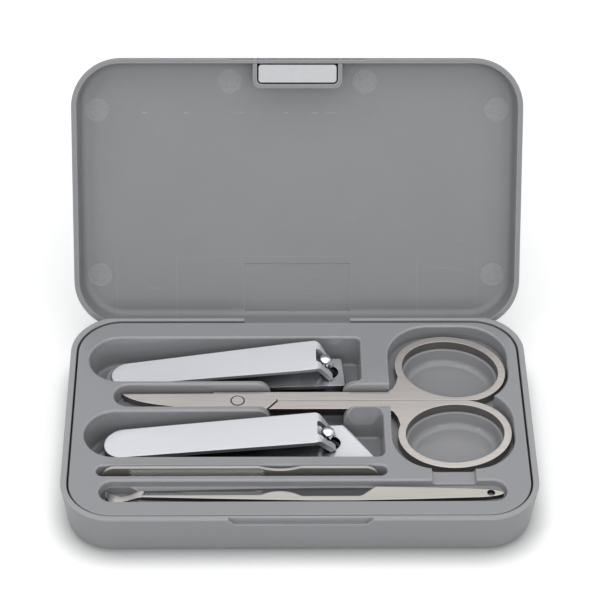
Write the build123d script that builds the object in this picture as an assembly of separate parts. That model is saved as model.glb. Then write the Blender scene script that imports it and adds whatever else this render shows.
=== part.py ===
from build123d import *
import math
import os

os.makedirs("parts", exist_ok=True)

# ---------------------------------------------------------------------------
# Manicure set in a two-part hinged case. Millimetres, +Z up.
# The origin is at the middle of the base, on the face that it stands on.
# +X runs from the tails of the clippers to the scissors' rings, -Y is the
# side that opens, +Y is the hinge side. The lid stands open.
# ---------------------------------------------------------------------------

# Case shells
case_wall = 1.4            # wall of both shells
base_floor = 1.6           # floor of the base
base_height = 13.0         # floor to rim of the base
base_draft = 6.5           # degrees
base_round = 2.4           # edge where the wall meets the floor
rim_round = 0.25           # broken edges of the lid's rim
lid_height = 8.0           # rim to top of the lid
lid_skin = 1.4             # top of the lid
lid_draft = 7.0            # degrees
lid_round = 3.2            # edge where the wall meets the top
lid_angle = 119.2          # opening of the lid, degrees
rim_gap = 0.10             # between the rims when the lid is shut
corner_radius = 12.8       # plan corner of the rims

# Hinge
hinge_inset = 1.1          # axis in from the rear face
hinge_drop = 2.8           # axis below the base rim
pin_radius = 0.6
pin_fit = 0.05             # running clearance round the pin
knuckle_radius = 1.15
tongue_width = 26.6        # lid knuckle
knuckle_length = 8.0       # each base knuckle
knuckle_gap = 0.3
hinge_relief = 0.6         # chamfer on the rear rim that lets the lid swing

# Thumb notch in front
notch_width = 34.8
notch_height = 1.9
notch_depth = 0.9
notch_slope = 1.7

# Tray
tray_gap = 0.35            # tray edge to the case wall
tray_drop = 0.3            # tray face below the rim
tray_skin = 1.2            # plate of the tray
tray_wall = 1.1            # walls of the recesses
tray_skirt = 3.6           # height of the edge flange
recess_draft = 2.0         # degrees
mouth_edge = 0.3           # broken edge of the recess mouths and of the tray

# Margins and ribs of the tray face, from the hinge side to the front
margin_back = 5.75
rib_small = 1.4            # small clipper to scissors
rib_large = 1.75           # scissors to large clipper
rib_file = 3.1             # large clipper to file slot
rib_pick = 1.75            # file slot to pick recess
margin_front = 4.8
margin_left = 3.05
margin_right = 2.85
web_rings = 1.95           # large clipper recess to ring recess

# Small clipper (finger nails)
small_length = 60.95
small_width = 9.8
small_tail_width = 11.0
small_stock = 1.1          # thickness of the arms
small_jaw_height = 4.6     # top of the upper jaw above the recess floor
small_jaw_slant = 4.5      # degrees
small_bite = 1.1           # gap between the cutting edges
small_post_setback = 5.05  # post from the middle of the cutting edge
small_post_radius = 1.0
small_head_radius = 1.7     # head of the post
small_pivot_height = 9.1   # centre of the head above the recess floor
small_lever_reach = 54.4   # pivot to the tail of the lever
small_lever_width = 10.4
small_lever_tail = 7.8
small_lever_stock = 0.9
small_lever_rise = 8.05    # slope of the folded lever, degrees
small_lever_over = 2.0     # top face of the lever above the pivot
small_bend = 1.6           # bend of the lever, before the pivot
small_notch = 2.28         # closed end of its notch, before the pivot
small_eye = 1.1            # hole of the upper arm, beyond the post
small_nose = 0.7           # rounding of the upper jaw
small_side_room = 2.6      # recess wall to the widest piece
small_tail_room = 3.95
small_jaw_room = 4.05

# Large clipper (toe nails)
large_length = 66.3
large_width = 12.2
large_tail_width = 12.0
large_stock = 1.4
large_jaw_height = 6.0
large_jaw_slant = 34.0
large_bite = 1.2
large_post_setback = 9.0
large_post_radius = 1.2
large_head_radius = 2.1
large_pivot_height = 9.75
large_lever_reach = 55.2
large_lever_width = 10.3
large_lever_tail = 9.5
large_lever_stock = 1.1
large_lever_rise = 6.6
large_lever_over = 1.97
large_bend = 2.0
large_notch = 2.55
large_eye = 0.87
large_nose = 1.2
large_side_room = 1.7
large_tail_room = 2.7
large_jaw_room = 0.8

head_flat = 0.55           # height of the heads against their width
eye_radius = 2.4           # hole of the upper arms
notch_half = 2.3           # half width of the notch round the head
fork_half = 3.0            # half width of the fork at its feet
foot_ahead = 2.0           # feet of the fork, beyond the post
arm_gap = 0.03             # between the arms at the tail
foot_gap = 0.08            # lever foot above the upper arm
shaft_fit = 0.06           # running clearance of posts and rivets
fork_fit = 0.12            # fork to the post, each side

# Scissors
shank_width = 5.96         # both shanks side by side
shank_gap = 0.08           # between the two halves
blade_stock = 1.2          # thickness of each blade
blade_reach = 29.15        # screw to tip
blade_gap = 0.02
screw_radius = 1.75
screw_shaft = 1.0
ring_reach = 53.95         # screw to the middle of the rings
ring_offset_up = 11.15     # middle of the far ring from the joint line
ring_offset_low = 11.55    # middle of the near ring from the joint line
ring_bore_long = 12.3      # half axes of the finger holes
ring_bore_short = 9.95
ring_band = 1.85           # width of the ring's band
ring_tilt_up = -14.0
ring_tilt_low = 7.5
scissors_depth = 2.0       # top of the scissors below the tray face
blade_room = 1.75          # recess end to the tip
shank_room = 0.8           # recess walls beside the shanks
ring_room = 1.35           # recess walls round the rings
bowl_ledge = 0.6           # ledge that carries the rings
bowl_depth = 4.0

# Nail file
file_length = 67.2
file_width = 8.0
file_stock = 0.8
file_proud = 1.1           # edge of the file above the tray face
file_scallop = 10.0        # length of the finger scallop
file_scallop_depth = 0.95
file_room_side = 1.25
file_room_end = 1.35
file_corner = 3.4          # rounded ends
file_start = 3.6           # file slot from the recesses' common end
scallop_back = 16.75       # scallops from the small clipper's jaws

# Cuticle and ear pick
pick_length = 96.4
pick_width = 4.72          # at its widest, past the middle
pick_stock = 1.2
pick_top = 1.0             # tool's face below the tray face
pick_tip_width = 2.76
pick_neck_width = 2.24
pick_hole_radius = 0.95
spoon_width = 3.0
spoon_length = 4.2
spoon_sink = 1.5
spoon_stock = 0.55
ridge_file = 0.58          # ridge of the bevel from the middle, beside the teeth
ridge_plain = 0.94         # and beyond the scallop
pick_arch = 1.5            # height of the scallop over the ridge
pick_side_room = 0.965
pick_end_room = 1.2
pick_start = 4.55          # pick recess from the recesses' common end
bevel_slant = 1.2          # run of the bevel's slanted end over its width

# Finger reliefs
scoop_length = 18.2        # cut across the ribs, along the tools
scoop_from_middle = 11.57  # its start, from the middle of the small clipper
scoop_round = 4.0          # rounding of the rib ends
scoop_floor = 4.6          # height of its floor above the base's underside
channel_width = 10.7       # gate from the near ring to the pick
channel_depth = 1.4

# Magnet and plate
plate_length = 20.1
plate_width = 4.8
plate_stock = 1.0
plate_sunk = 0.15          # below the frame's face
frame_wall = 1.1
frame_gap = 0.25
frame_clear = 0.3          # frame's face inside the lid's rim plane
magnet_length = 20.0
magnet_width = 2.0
magnet_height = 2.0

# ---------------------------------------------------------------------------
# Sizes that follow from the ones above
# ---------------------------------------------------------------------------
small_recess_w = max(small_width, small_tail_width, small_lever_width) + 2 * small_side_room - 0.5
large_recess_w = max(large_width, large_tail_width, large_lever_width) + 2 * large_side_room
scissors_recess_w = shank_width + 2 * shank_room
file_recess_w = file_stock + 2 * file_room_side
pick_recess_w = pick_width + 2 * pick_side_room

tray_depth = (margin_back + small_recess_w + rib_small + scissors_recess_w + rib_large
              + large_recess_w + rib_file + file_recess_w + rib_pick + pick_recess_w + margin_front)
case_depth = tray_depth + 2 * (tray_gap + case_wall)

y_small = tray_depth / 2 - margin_back - small_recess_w / 2
y_scissors = y_small - small_recess_w / 2 - rib_small - scissors_recess_w / 2
y_large = y_scissors - scissors_recess_w / 2 - rib_large - large_recess_w / 2
y_file = y_large - large_recess_w / 2 - rib_file - file_recess_w / 2
y_pick = y_file - file_recess_w / 2 - rib_pick - pick_recess_w / 2

ring_long = ring_bore_long + ring_band
ring_short = ring_bore_short + ring_band
large_half_slant = large_width / 2 * math.tan(math.radians(large_jaw_slant))
large_recess_l = large_tail_room + large_length + large_half_slant + large_jaw_room
small_recess_l = small_tail_room + small_length + small_jaw_room
ring_recess_w = 2 * (ring_long + ring_room) - 0.7
tray_length = margin_left + large_recess_l + web_rings + ring_recess_w + margin_right
case_width = tray_length + 2 * (tray_gap + case_wall)

x_recess = -tray_length / 2 + margin_left            # common left end of the recesses
x_small = x_recess + small_tail_room                 # tails of the clippers
x_large = x_recess + large_tail_room
x_ring_left = x_recess + large_recess_l + web_rings
x_ring_mid = x_ring_left + ring_recess_w / 2
x_screw = x_ring_mid + 0.65 - ring_reach

z_rim = base_height
z_face = z_rim - tray_drop                           # face of the tray
clipper_floor = base_floor + 1.7                     # floor of the clipper recesses
z_scissors = z_face - scissors_depth                 # top of the scissors
z_ledge = z_scissors - 2 * blade_stock - blade_gap
z_pick = z_face - pick_top
z_file_floor = z_face + file_proud - file_width
z_bowl = z_ledge - bowl_depth

y_hinge = case_depth / 2 - hinge_inset
z_hinge = z_rim - hinge_drop
z_lid = z_rim + rim_gap                              # lid rim when shut


# ---------------------------------------------------------------------------
# Helpers
# ---------------------------------------------------------------------------
def down(face, z_top, depth, draft=0.0):
    """Prism from z_top downwards that narrows with its draft."""
    return extrude(Pos(0, 0, z_top) * face, amount=depth, dir=(0, 0, -1), taper=draft)


def up(face, z_low, height, draft=0.0):
    return extrude(Pos(0, 0, z_low) * face, amount=height, dir=(0, 0, 1), taper=draft)


def box(x0, x1, y0, y1, z0, z1):
    return Pos((x0 + x1) / 2, (y0 + y1) / 2, (z0 + z1) / 2) * Box(x1 - x0, y1 - y0, z1 - z0)


def plate_xy(x0, x1, y0, y1, r=0.0):
    w, h = x1 - x0, y1 - y0
    r = min(r, 0.499 * w, 0.499 * h)
    return Pos((x0 + x1) / 2, (y0 + y1) / 2) * (RectangleRounded(w, h, r) if r > 0 else Rectangle(w, h))


def rod(x, y, z0, z1, r):
    return Pos(x, y, (z0 + z1) / 2) * Cylinder(r, z1 - z0)


def rod_x(x0, x1, y, z, r):
    return Pos((x0 + x1) / 2, y, z) * Rot(0, 90, 0) * Cylinder(r, x1 - x0)


def rod_y(x, y0, y1, z, r):
    return Pos(x, (y0 + y1) / 2, z) * Rot(90, 0, 0) * Cylinder(r, y1 - y0)


def side(points, y0, y1):
    """Side profile in X and Z, carried from y0 to y1."""
    face = Plane.XZ * make_face(Polyline(*points, close=True))
    return extrude(Pos(0, y1, 0) * face, amount=y1 - y0, dir=(0, -1, 0))


def low_edges(part, z, tol=0.02):
    return part.edges().filter_by_position(Axis.Z, z - tol, z + tol)


def save(part, name):
    solids = part.solids() if hasattr(part, "solids") else [part]
    solids = [s for s in solids if s.volume > 1e-3]
    assert len(solids) == 1, f"{name}: {len(solids)} solids"
    export_step(solids[0], f"parts/{name}.step")
    return solids[0]


# ---------------------------------------------------------------------------
# Base shell
# ---------------------------------------------------------------------------
outline = RectangleRounded(case_width, case_depth, corner_radius)
inside = RectangleRounded(case_width - 2 * case_wall, case_depth - 2 * case_wall, corner_radius - case_wall)

base = down(outline, z_rim, z_rim, base_draft)
base = fillet(low_edges(base, 0), base_round)
hollow = down(inside, z_rim, z_rim - base_floor, base_draft)
hollow = fillet(low_edges(hollow, base_floor), max(base_round - case_wall, 0.4))
base -= hollow

# thumb notch under the front rim
half, low = notch_width / 2, notch_width / 2 - notch_slope
base -= side([(-half - 0.3, z_rim + 0.5), (half + 0.3, z_rim + 0.5), (half, z_rim), (low, z_rim - notch_height),
              (-low, z_rim - notch_height), (-half, z_rim)], -case_depth / 2 - 1, -case_depth / 2 + notch_depth)

# hinge: two knuckles, the gap for the lid's tongue and the relief of the rim
knuckle_in = tongue_width / 2 + knuckle_gap
knuckle_out = knuckle_in + knuckle_length
for s in (-1, 1):
    a, b = sorted((s * knuckle_in, s * knuckle_out))
    base += rod_x(a, b, y_hinge, z_hinge, knuckle_radius)
base -= box(-knuckle_in, knuckle_in, y_hinge - knuckle_radius - 0.4, case_depth / 2 + 1,
            z_hinge - knuckle_radius - 0.95, z_rim + 1)
base -= rod_x(-knuckle_out, knuckle_out, y_hinge, z_hinge, pin_radius + pin_fit)
relief = Pos(0, case_depth / 2, z_rim) * Rot(45, 0, 0) * Box(case_width, hinge_relief * math.sqrt(2), hinge_relief * math.sqrt(2))
base -= relief
base = save(base, "base_shell")

hinge_pin = save(rod_x(-knuckle_out, knuckle_out, y_hinge, z_hinge, pin_radius), "hinge_pin")

# ---------------------------------------------------------------------------
# Lid shell, modelled shut and then swung open about the hinge
# ---------------------------------------------------------------------------
lid = up(outline, z_lid, lid_height, lid_draft)
lid = fillet(low_edges(lid, z_lid + lid_height), lid_round)
ceiling = z_lid + lid_height - lid_skin
lid_hollow = up(inside, z_lid, lid_height - lid_skin, lid_draft)
lid_hollow = fillet(low_edges(lid_hollow, ceiling), max(lid_round - case_wall, 0.4))
lid -= lid_hollow
lid = fillet(low_edges(lid, z_lid), rim_round)

# thumb notch in the lid's free edge
lid -= side([(-half, z_lid - 0.5), (half, z_lid - 0.5), (half, z_lid + 0.2), (low, z_lid + 0.9),
             (-low, z_lid + 0.9), (-half, z_lid + 0.2)], -case_depth / 2 - 1, -case_depth / 2 + 0.5)

# frame that holds the steel plate at the free edge, with ribs under the plate
frame_face = z_lid + frame_clear
slot_l = plate_length + 2 * frame_gap
slot_front = -case_depth / 2 + case_wall
slot_back = slot_front + frame_gap + plate_width + frame_gap
frame = plate_xy(-slot_l / 2 - frame_wall, slot_l / 2 + frame_wall, slot_front - 4, slot_back + frame_wall, 2.0)
slot = plate_xy(-slot_l / 2, slot_l / 2, slot_front - 3, slot_back, 1.2)
frame_3d = up(frame - slot, frame_face, ceiling + 0.3 - frame_face)
plate_back = frame_face + plate_sunk + plate_stock
for i in (-1, 0, 1):
    frame_3d += box(i * plate_length * 0.32 - 0.5, i * plate_length * 0.32 + 0.5, slot_front - 0.5, slot_back + 0.5,
                    plate_back, ceiling + 0.3)
lid_body = up(outline, z_lid, lid_height, lid_draft)
lid_body = fillet(low_edges(lid_body, z_lid + lid_height), lid_round)
lid += frame_3d & lid_body

# tongue: one wide knuckle and the web that joins it to the rear wall
tongue = rod_x(-tongue_width / 2, tongue_width / 2, y_hinge, z_hinge, knuckle_radius)
tongue += box(-tongue_width / 2, tongue_width / 2, case_depth / 2 - case_wall + 0.05, case_depth / 2, z_hinge, z_lid + 1.2)
lid += tongue
lid -= rod_x(-tongue_width, tongue_width, y_hinge, z_hinge, pin_radius + pin_fit)

# ejector marks and the sunk panel behind the tongue
mark_r = 3.1
mark_x, mark_low, mark_mid = case_width / 2 - 6.5, case_depth / 2 - 13.3, case_depth / 2 - 7.1
for mx, my in ((-mark_x, -case_depth / 2 + 14.2), (mark_x, -case_depth / 2 + 14.2), (-17.4, -mark_mid), (17.5, -mark_mid),
               (-mark_x, mark_low), (mark_x, mark_low)):
    lid -= rod(mx, my, ceiling - 0.2, ceiling + 0.12, mark_r)
lid -= box(-13.7, 13.9, case_depth / 2 - 16.0, case_depth / 2 - case_wall - 1.6, ceiling - 0.2, ceiling + 0.15)

hinge_axis = Axis((0, y_hinge, z_hinge), (-1, 0, 0))
lid = save(lid.rotate(hinge_axis, lid_angle), "lid_shell")

lid_plate = up(plate_xy(-plate_length / 2, plate_length / 2, slot_front + frame_gap, slot_front + frame_gap + plate_width, 0.9),
               frame_face + plate_sunk, plate_stock)
lid_plate = chamfer(low_edges(lid_plate, frame_face + plate_sunk), 0.15)
lid_plate = save(lid_plate.rotate(hinge_axis, lid_angle), "lid_plate")

# ---------------------------------------------------------------------------
# Scissors. The joint line is y = 0 and the screw is at the origin, then both
# halves are set in the tray. The top blade ends in the far ring.
# ---------------------------------------------------------------------------
half_shank = shank_width / 2


def ring_face(sign, grow):
    tilt = ring_tilt_up if sign > 0 else ring_tilt_low
    off = ring_offset_up if sign > 0 else -ring_offset_low
    return Pos(ring_reach, off) * Rot(0, 0, tilt) * Ellipse(ring_bore_long + grow, ring_bore_short + grow)


def blade_half(sign, z_low, z_joint, z_high, top):
    """One half: sign is the side of its shank and ring."""
    g = shank_gap / 2
    joint_l = 6.06
    hs = half_shank
    # blade beyond the joint: both blades lie one over the other when shut,
    # the lower one is ground narrower and its cutting edge faces the near side
    if top:
        tip = (-blade_reach, 0.82 * hs)
        root = (-joint_l, -hs * 0.99)
        back = Spline(root, (-0.62 * blade_reach, -0.57 * hs), tip, tangents=((-1, 0), (-0.72, 0.70)))
        blade = make_face(Line(tip, (-joint_l, 0.86 * hs)) + Line((-joint_l, 0.86 * hs), root) + back)
    else:
        blade = make_face(Polyline((0.4 - blade_reach, 0.76 * hs), (-joint_l, 0.78 * hs), (-joint_l, -0.84 * hs), close=True))
    joint = make_face(Polyline((-joint_l, sign * hs), (9.9, sign * hs), (9.7, 0), (7.2, -sign * hs),
                               (-joint_l, -sign * hs), close=True))
    shank = plate_xy(9.8, ring_reach + 4.0, *sorted((sign * g, sign * hs)))
    ring = ring_face(sign, ring_band)
    off = ring_offset_up if sign > 0 else ring_offset_low
    web = make_face(Polyline((ring_reach - ring_long - 2.7, sign * hs * 0.9), (ring_reach - ring_long - 0.8, sign * (hs + 1.1)),
                             (ring_reach - ring_long + 0.15, sign * (hs + 3.0)), (ring_reach - ring_long + 0.9, sign * (hs + 6.5)),
                             (ring_reach - 3, sign * (hs + 1.5)), (ring_reach - 3, sign * g),
                             (ring_reach - ring_long - 2.7, sign * g), close=True))
    keep = plate_xy(9.9, 90, *sorted((sign * g, sign * 40)))
    grip = ((ring + web + shank) & keep) - ring_face(sign, 0)
    # the joint plate is half as thick as the shank
    z0, z1 = (z_joint, z_high) if top else (z_low, z_joint - blade_gap)
    half = up(blade, z0, z1 - z0) + up(joint, z0, z1 - z0)
    half += up(grip, z0, z1 - z0)
    # the full shank starts along the slanted end of the mating joint plate
    lap = plate_xy(10.6, 90, *sorted((sign * g, sign * 40)))
    heel = make_face(Polyline((10.28, sign * g), (7.8, sign * hs), (10.9, sign * hs), (10.9, sign * g), close=True))
    half += up(grip & lap, z_low, z_high - z_low)
    half += up(heel, z_low, z_high - z_low)
    return half


z0s, z2s = z_ledge, z_scissors
z1s = z_scissors - blade_stock
top_blade = blade_half(1, z0s, z1s, z2s, True)
bottom_blade = blade_half(-1, z0s, z1s, z2s, False)
# bore for the screw, with a seat for its head
top_blade -= rod(0, 0, z0s - 1, z2s + 1, screw_shaft + shaft_fit)
top_blade -= rod(0, 0, z2s - 0.55, z2s + 1, screw_radius + shaft_fit)
bottom_blade -= rod(0, 0, z0s - 1, z2s + 1, screw_shaft + shaft_fit)
bottom_blade -= rod(0, 0, z0s - 1, z0s + 0.45, screw_shaft + 0.55 + shaft_fit)


def in_tray(part):
    return Pos(x_screw, y_scissors, 0) * part


scissors_top = save(in_tray(top_blade), "scissors_top_blade")
scissors_bottom = save(in_tray(bottom_blade), "scissors_bottom_blade")
screw = rod(0, 0, z0s + 0.02, z2s, screw_shaft) + rod(0, 0, z2s - 0.5, z2s, screw_radius) \
    + rod(0, 0, z0s + 0.02, z0s + 0.42, screw_shaft + 0.55)
scissors_screw = save(in_tray(screw), "scissors_screw")


# ---------------------------------------------------------------------------
# Clippers. Local frame: tail at x = 0, underside at z = 0, jaws towards +X.
# ---------------------------------------------------------------------------
def clipper(length, width, tail_w, t, jaw_h, slant, bite, setback, post_r, head_r, pivot_z,
            reach, lev_w, lev_tail, lev_t, rise, above, bend, notch, eye, nose):
    out = {}
    x_post = length - setback
    tan_s = math.tan(math.radians(slant))
    # plan: rounded tail, sides that widen or narrow to the jaws, slanted cutting edge
    tail_r = tail_w / 2
    jaw_far, jaw_near = length - width / 2 * tan_s, length + width / 2 * tan_s
    plan = make_face(Polyline((tail_r, tail_w / 2), (jaw_far, width / 2), (jaw_near, -width / 2), (tail_r, -tail_w / 2), close=True))
    plan += Pos(tail_r, 0) * Circle(tail_r)
    corner = 1.0 if slant < 20 else 1.6
    jaw_pts = [v for v in plan.vertices() if v.X > tail_r + 5]
    plan = fillet(ShapeList(jaw_pts), corner)
    column = up(plan, -1, jaw_h + 8)
    rise_up = jaw_h - 2 * t - arm_gap
    slope = math.degrees(math.atan2(rise_up, length))
    lip = (jaw_h - 2 * t - bite) / 2                      # height of each turned jaw
    lip_low, lip_up = lip * 0.8, lip * 1.2
    far = length + width

    def jaw_lip(z_root, height):
        """Turned cutting edge that follows the slant: thick at its root, keen at its edge."""
        s = 1 if height > 0 else -1
        w = 2.0
        pts = [(-w, z_root), (0.6, z_root), (0.6, z_root + height), (-0.18, z_root + height), (-0.55, z_root + height * 0.55)]
        face = Plane.XZ * make_face(Polyline(*pts, close=True))
        prism = extrude(Pos(0, width, 0) * face, amount=2 * width, dir=(0, -1, 0))
        return Pos(length, 0, 0) * Rot(0, 0, slant if tan_s else 0) * prism

    lower = up(plan, 0, t)
    if lip_low > 0.05:
        lower += jaw_lip(t - 0.01, lip_low) & column
    # upper arm bows up gently from the tail to the jaw
    sag = 0.35
    under = lambda x: t + arm_gap + rise_up * x / length + 4 * sag * (x / length) * (1 - x / length)
    top_at = lambda x: under(x) + t
    mid_x = length / 2
    arm_face = Plane.XZ * make_face(
        ThreePointArc((-1, under(-1)), (mid_x, under(mid_x)), (far, under(far)))
        + Line((far, under(far)), (far, top_at(far)))
        + ThreePointArc((far, top_at(far)), (mid_x, top_at(mid_x)), (-1, top_at(-1)))
        + Line((-1, top_at(-1)), (-1, under(-1))))
    arm = extrude(Pos(0, tail_w, 0) * arm_face, amount=2 * tail_w, dir=(0, -1, 0))
    upper = arm & column
    # rounded nose along the slanted edge
    z_nose = top_at(length) + 0.02
    tool = make_face(Polyline((-nose, -nose), (2, -nose), (2, 1), (-nose, 1), close=True)) - Pos(-nose, -nose) * Circle(nose)
    tool = extrude(Pos(0, 2 * width, 0) * (Plane.XZ * tool), amount=4 * width, dir=(0, -1, 0))
    lean = math.degrees((top_at(length + 1) - top_at(length)) * math.sin(math.radians(slant)))
    upper -= Pos(length, 0, z_nose) * Rot(0, 0, slant) * Rot(-lean, 0, 0) * tool
    upper += jaw_lip(t + arm_gap + rise_up + 0.3, -lip_up - 0.3) & column
    # bores
    rivet_x, rivet_r = 4.3, 0.9
    head_r, head_h = 1.65, 0.42
    lower -= rod(rivet_x, 0, -1, t + 1, rivet_r + 0.02) + rod(rivet_x, 0, -1, head_h, head_r + 0.02)
    lower -= rod(x_post, 0, -1, t + 1, post_r + shaft_fit) + rod(x_post, 0, -1, 0.5, post_r + 0.9 + shaft_fit)
    z_tail = top_at(rivet_x)
    upper -= rod(rivet_x, 0, 0, jaw_h + 3, rivet_r + 0.08)
    upper -= rod(rivet_x, 0, z_tail - head_h, jaw_h + 3, head_r + 0.1)
    upper -= rod(x_post + eye, 0, 0, jaw_h + 3, eye_radius)
    out["lower_arm"], out["upper_arm"] = lower, upper
    rivet = rod(rivet_x, 0, 0, z_tail - 0.02, rivet_r) + rod(rivet_x, 0, 0, head_h - 0.02, head_r) \
        + rod(rivet_x, 0, z_tail + 0.02 - head_h, z_tail - 0.02, head_r)
    out["rivet"] = rivet
    # post with a rounded head
    out["post"] = rod(x_post, 0, 0, pivot_z, post_r) + rod(x_post, 0, 0, 0.45, post_r + 0.9) \
        + Pos(x_post, 0, pivot_z) * scale(Sphere(head_r), by=(1, 1, head_flat))
    # lever: one plate whose end is bent down as a fork that straddles the post
    # under its head; profile in X and Z from the pivot
    foot = (pivot_z - top_at(x_post)) * math.cos(math.radians(slope)) - foot_gap
    tr = math.tan(math.radians(rise))
    zt = lambda x: above + tr * x
    bx, bz = -bend, zt(-bend)
    tx = foot_ahead
    tz = -math.sqrt(foot ** 2 - tx ** 2)
    run = math.hypot(tx - bx, tz - bz)
    ux, uz = (tx - bx) / run, (tz - bz) / run              # along the fork, downwards
    nx, nz = uz, -ux                                       # to its rear face
    # rear face: where it leaves the plate's underside and where it meets the foot circle
    px, pz = bx + nx * lev_t, bz + nz * lev_t
    c = math.cos(math.radians(rise))
    k = (above - lev_t / c + tr * px - pz) / (uz - tr * ux)
    qx, qz = px + ux * k, pz + uz * k
    dot = px * ux + pz * uz
    m = -dot + math.sqrt(dot ** 2 - (px ** 2 + pz ** 2 - foot ** 2))
    rx, rz = px + ux * m, pz + uz * m
    back_x = -reach - 1
    shape = make_face(Polyline((back_x, zt(back_x)), (bx, bz), (tx, tz), (rx, rz), (qx, qz),
                               (back_x, zt(back_x) - lev_t / c), close=True))
    outer = [v for v in shape.vertices() if abs(v.X - bx) < 1e-3 and abs(v.Y - bz) < 1e-3]
    inner = [v for v in shape.vertices() if abs(v.X - qx) < 1e-3 and abs(v.Y - qz) < 1e-3]
    shape = fillet(ShapeList(outer), lev_t + 0.6)
    shape = fillet(ShapeList([v for v in shape.vertices() if abs(v.X - qx) < 1e-3 and abs(v.Y - qz) < 1e-3]), 0.6)
    bar = extrude(Pos(x_post, lev_w, pivot_z) * (Plane.XZ * shape), amount=2 * lev_w, dir=(0, -1, 0))
    tail_lr = lev_tail / 2
    wide = lev_w / 2
    shoulder = x_post - bend - 0.9
    lever_plan = make_face(Polyline((x_post - reach + tail_lr, tail_lr), (x_post - 6.5, wide), (shoulder, wide), (x_post + tx, fork_half), (x_post + tx + 2, fork_half),
                                    (x_post + tx + 2, -fork_half), (x_post + tx, -fork_half), (shoulder, -wide), (x_post - 6.5, -wide),
                                    (x_post - reach + tail_lr, -tail_lr), close=True))
    lever_plan = fillet(ShapeList([v for v in lever_plan.vertices() if abs(v.X - shoulder) < 1e-3]), 2.0)
    lever_plan += Pos(x_post - reach + tail_lr, 0) * Circle(tail_lr)
    slit = post_r + fork_fit
    gap = make_face(Polyline((x_post - notch, notch_half), (x_post - 0.2, notch_half), (x_post + 0.9, slit), (x_post + 6, slit),
                             (x_post + 6, -slit), (x_post + 0.9, -slit), (x_post - 0.2, -notch_half), (x_post - notch, -notch_half), close=True))
    gap = fillet(ShapeList([v for v in gap.vertices() if abs(v.X - x_post + notch) < 1e-3]), 0.4)
    out["lever"] = bar & up(lever_plan - gap, -2, pivot_z + 8)
    out["x_post"], out["pivot"] = x_post, pivot_z
    return out


small = clipper(small_length, small_width, small_tail_width, small_stock, small_jaw_height, small_jaw_slant, small_bite,
                small_post_setback, small_post_radius, small_head_radius, small_pivot_height, small_lever_reach,
                small_lever_width, small_lever_tail, small_lever_stock, small_lever_rise, small_lever_over,
                small_bend, small_notch, small_eye, small_nose)
large = clipper(large_length, large_width, large_tail_width, large_stock, large_jaw_height, large_jaw_slant, large_bite,
                large_post_setback, large_post_radius, large_head_radius, large_pivot_height, large_lever_reach,
                large_lever_width, large_lever_tail, large_lever_stock, large_lever_rise, large_lever_over,
                large_bend, large_notch, large_eye, large_nose)
for tag, set_, x0, y0 in (("small", small, x_small, y_small), ("large", large, x_large, y_large)):
    for key in ("lower_arm", "upper_arm", "lever", "post", "rivet"):
        save(Pos(x0, y0, clipper_floor) * set_[key], f"{tag}_{key}")

# ---------------------------------------------------------------------------
# Nail file, standing on its edge: rounded ends and a finger scallop on top
# ---------------------------------------------------------------------------
x_file = x_recess + file_start + file_room_end
z_file = z_file_floor + file_width
file_face = Pos(x_file + file_length / 2, z_file_floor + file_width / 2) * RectangleRounded(file_length, file_width, min(file_corner, file_width * 0.45))
x_scallop = x_small + small_length - scallop_back
scallop_r = (file_scallop ** 2 / 4 + file_scallop_depth ** 2) / (2 * file_scallop_depth)
file_face -= Pos(x_scallop, z_file - file_scallop_depth + scallop_r) * Circle(scallop_r)
nail_file = extrude(Plane.XZ * file_face, amount=file_stock / 2, both=True)
nail_file = save(Pos(0, y_file, 0) * nail_file, "nail_file")

# ---------------------------------------------------------------------------
# Pick: flat handle with a hanging hole, a ground bevel that carries the
# file teeth, a neck and a small spoon
# ---------------------------------------------------------------------------
x_pick0 = x_recess + pick_start + pick_end_room            # spoon end
x_pick1 = x_pick0 + pick_length                      # handle tip
w2, tip2, neck2 = pick_width / 2, pick_tip_width / 2, pick_neck_width / 2
neck_x = x_pick0 + spoon_length + 5.0
# long sides: narrow at the neck, widest past the middle
belly = [(neck_x, neck2), (x_pick0 + 23, w2 * 0.66), (x_pick0 + 36, w2 * 0.83), (x_pick0 + 50, w2 * 0.985), (x_pick0 + 60, w2),
         (x_pick0 + 75, w2 * 0.84), (x_pick1 - 5.2, tip2)]
far_side = Polyline(*belly)
near_side = Polyline(*[(x, -y) for x, y in reversed(belly)])
tip_end = Spline((x_pick1 - 5.2, tip2), (x_pick1, 0), (x_pick1 - 5.2, -tip2), tangents=((1, -0.09), (-1, -0.09)))
pick_face = make_face(far_side + tip_end + near_side + Line((neck_x, -neck2), (neck_x, neck2)))
pick = up(pick_face, z_pick - pick_stock, pick_stock)
# ground bevel on the far side, with the scallop left standing
x_bevel0, x_bevel1 = neck_x - 1, x_small + small_length + 2.7
bevel_depth = pick_stock * 0.62
bevel_tilt = math.degrees(math.atan2(bevel_depth, w2 + ridge_plain))
wide_y = pick_width * 1.5
plain_face = make_face(Polyline((x_scallop, -ridge_plain), (x_bevel1, -ridge_plain), (x_bevel1 + bevel_slant * (wide_y + ridge_plain), wide_y),
                                (x_scallop, wide_y), close=True))
plain_face = fillet(ShapeList([v for v in plain_face.vertices() if abs(v.X - x_bevel1) < 1e-3]), 2.0)
arch_r = (file_scallop ** 2 / 4 + pick_arch ** 2) / (2 * pick_arch)
stand = up(Pos(x_scallop, -(ridge_file + ridge_plain) / 2 + pick_arch - arch_r) * Circle(arch_r), z_pick - 3, 8)
for x0_, x1_, y0_, limit in ((x_bevel0, x_scallop, -ridge_file, plate_xy(x_bevel0, x_scallop, -ridge_file, wide_y)),
                             (x_scallop, x_bevel1 + 12, -ridge_plain, plain_face)):
    cut = Pos(0, y0_, z_pick) * Rot(-bevel_tilt, 0, 0) * box(x0_ - 1, x1_ + 1, 0, wide_y + 2, 0, 3)
    pick -= (cut & up(limit, z_pick - 5, 12)) - stand
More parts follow.
